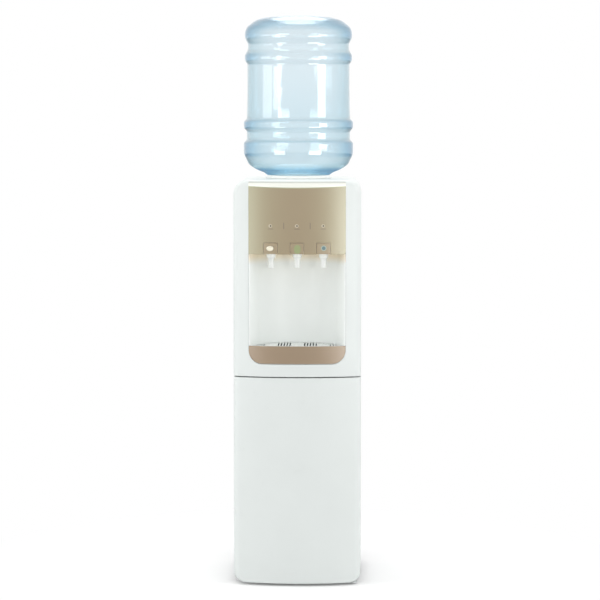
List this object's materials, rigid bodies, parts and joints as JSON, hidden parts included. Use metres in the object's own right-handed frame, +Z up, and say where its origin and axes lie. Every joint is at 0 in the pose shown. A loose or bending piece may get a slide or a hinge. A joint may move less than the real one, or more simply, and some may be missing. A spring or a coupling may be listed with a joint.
{
  "type": "water dispenser",
  "caption": "Tall floor-standing water dispenser with an inverted bottle, bowed front, push keys over nozzles in an alcove, a drip tray and a lower door.",
  "frame": {"origin": "on the floor, in the middle of the bounding box's footprint", "axes": "+Z up, +X to the right seen from the front, the front faces -Y"},
  "size_m": [0.312, 0.33, 1.399],
  "materials": {
    "body_white": "satin white moulding",
    "panel_white": "white powder coat",
    "liner_white": "satin white",
    "gold_panel": "metallic champagne gold",
    "gold_tray": "metallic champagne gold, darker",
    "ivory": "smooth ivory",
    "bottle_blue": "clear light blue",
    "cap_blue": "soft blue",
    "rubber": "black",
    "gasket_grey": "light grey",
    "grey_plastic": "grey",
    "black_plastic": "black",
    "stainless": "drawn stainless steel",
    "zinc_sheet": "zinc coated sheet",
    "black_metal": "black enamel",
    "copper": "drawn copper",
    "foam": "white foam",
    "silicone": "milky silicone",
    "board": "green board",
    "lamp": "clear lamp"
  },
  "bodies": {
    "cabinet": {"foot_front_left": "rubber", "foot_rear_left": "rubber", "foot_front_right": "rubber", "foot_rear_right": "rubber", "base_pan": "zinc_sheet", "side_panel_left": "panel_white", "side_panel_right": "panel_white", "back_panel": "zinc_sheet", "top_cover": "body_white", "upper_front": "body_white", "control_panel": "gold_panel", "display_board": "board", "lamp_hot": "lamp", "lamp_power": "lamp", "lamp_cold": "lamp", "tap_hot": "liner_white", "tap_ambient": "liner_white", "tap_cold": "liner_white", "alcove_liner": "liner_white", "bottle_seat": "body_white", "water_probe": "liner_white", "partition": "zinc_sheet", "tank_shelf": "zinc_sheet", "cold_tank": "stainless", "evaporator_coil": "copper", "cold_tank_foam": "foam", "hot_tank": "stainless", "hot_tank_jacket": "foam", "drain_spout": "liner_white", "hose_cold": "silicone", "hose_hot": "silicone", "hose_ambient": "silicone", "hose_feed": "silicone", "control_box": "grey_plastic", "compartment_liner": "liner_white", "compartment_shelf": "liner_white", "hinge_lower": "stainless", "hinge_upper": "stainless", "compressor": "black_metal", "condenser": "black_metal", "filter_drier": "copper", "discharge_pipe": "copper", "suction_pipe": "copper", "switch_plate": "black_plastic", "power_inlet": "black_plastic"},
    "door": {"door_shell": "body_white", "door_liner": "liner_white", "door_gasket": "gasket_grey"},
    "hot_key": {"key_hot": "gold_panel"},
    "ambient_key": {"key_ambient": "gold_panel"},
    "cold_key": {"key_cold": "gold_panel"},
    "lock_button": {"child_lock": "ivory"},
    "tray": {"drip_tray": "liner_white", "drip_tray_front": "gold_tray"},
    "grille": {"drip_grille": "liner_white"},
    "water_bottle": {"bottle": "bottle_blue", "bottle_cap": "cap_blue"},
    "hot_rocker": {"switch_hot": "black_plastic"},
    "cold_rocker": {"switch_cold": "black_plastic"},
    "drain_plug": {"drain_cap": "grey_plastic"}
  },
  "joints": [
    {"name": "door_hinge", "type": "hinge", "parent": "cabinet", "child": "door", "pos_m": [0.141, -0.128, 0.26], "axis": [0, 0, 1], "range_deg": [0, 105]},
    {"name": "hot_press", "type": "slide", "parent": "cabinet", "child": "hot_key", "axis": [0, 1, 0], "range_m": [0, 0.004], "stiffness_N_per_m": 400, "springref_m": -0.004},
    {"name": "ambient_press", "type": "slide", "parent": "cabinet", "child": "ambient_key", "axis": [0, 1, 0], "range_m": [0, 0.004], "stiffness_N_per_m": 400, "springref_m": -0.004},
    {"name": "cold_press", "type": "slide", "parent": "cabinet", "child": "cold_key", "axis": [0, 1, 0], "range_m": [0, 0.004], "stiffness_N_per_m": 400, "springref_m": -0.004},
    {"name": "lock_press", "type": "slide", "parent": "hot_key", "child": "lock_button", "axis": [0, 1, 0], "range_m": [0, 0.0016], "stiffness_N_per_m": 200, "springref_m": -0.003},
    {"name": "tray_slide", "type": "slide", "parent": "cabinet", "child": "tray", "axis": [0, -1, 0], "range_m": [0, 0.1]},
    {"name": "grille_lift", "type": "slide", "parent": "tray", "child": "grille", "axis": [0, 0, 1], "range_m": [0, 0.03]},
    {"name": "bottle_lift", "type": "slide", "parent": "cabinet", "child": "water_bottle", "axis": [0, 0, 1], "range_m": [0, 0.12]},
    {"name": "hot_switch", "type": "hinge", "parent": "cabinet", "child": "hot_rocker", "pos_m": [0.063, 0.1493, 0.462], "axis": [1, 0, 0], "range_deg": [-12, 12]},
    {"name": "cold_switch", "type": "hinge", "parent": "cabinet", "child": "cold_rocker", "pos_m": [0.093, 0.1493, 0.462], "axis": [1, 0, 0], "range_deg": [-12, 12]},
    {"name": "drain_turn", "type": "hinge", "parent": "cabinet", "child": "drain_plug", "pos_m": [-0.055, 0.16, 0.545], "axis": [0, 1, 0], "continuous": true}
  ]
}
